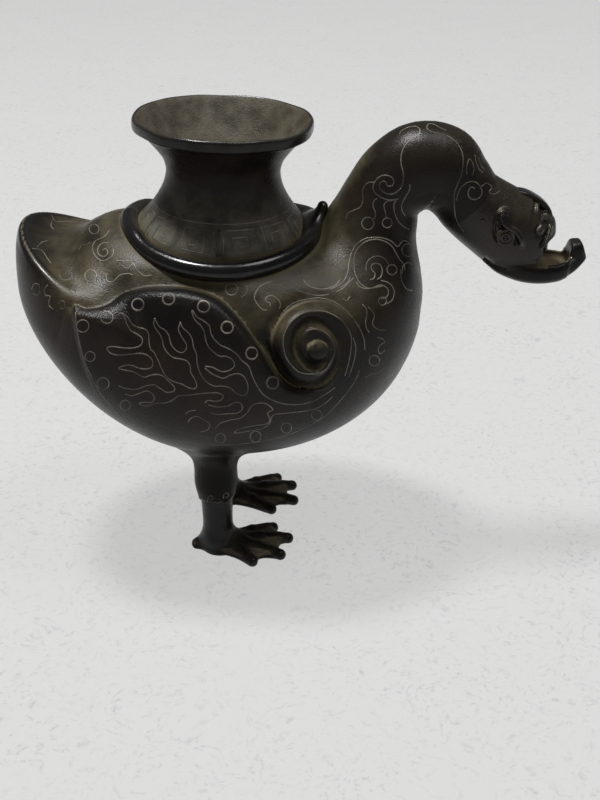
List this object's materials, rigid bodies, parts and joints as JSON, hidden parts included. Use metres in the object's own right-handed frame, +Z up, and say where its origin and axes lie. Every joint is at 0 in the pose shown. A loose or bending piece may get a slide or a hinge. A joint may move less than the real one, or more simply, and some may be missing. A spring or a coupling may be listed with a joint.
{
  "type": "water dropper",
  "caption": "Dark bronze duck vessel with silver inlay: trumpet mouth on the back to fill it, hollow body, arched neck, and an open lower bill as the spout; stands on webbed feet.",
  "frame": {"origin": "middle of the bounding box at the floor under the feet", "axes": "+X is the way the duck faces, +Y its left side, +Z up"},
  "size_m": [0.1794, 0.0922, 0.1483],
  "materials": {
    "bronze": "brown-black patina, glossy on the ridges, olive-tan dust in the recesses",
    "silver": "tarnished silver wire, satin"
  },
  "bodies": {
    "root": {"trumpet_mouth": "bronze", "collar_ring": "bronze", "body_shell": "bronze", "neck": "bronze", "head": "bronze", "head_crest": "bronze", "lower_bill": "bronze", "right_wing": "bronze", "right_scroll": "bronze", "right_thigh": "bronze", "right_foot": "bronze", "left_wing": "bronze", "left_scroll": "bronze", "left_thigh": "bronze", "left_foot": "bronze", "right_wing_ring_1": "silver", "right_wing_ring_2": "silver", "right_wing_ring_3": "silver", "right_wing_ring_4": "silver", "right_wing_ring_5": "silver", "right_wing_ring_6": "silver", "right_eye": "silver", "left_wing_ring_1": "silver", "left_wing_ring_2": "silver", "left_wing_ring_3": "silver", "left_wing_ring_4": "silver", "left_wing_ring_5": "silver", "left_wing_ring_6": "silver", "left_eye": "silver"}
  },
  "joints": []
}
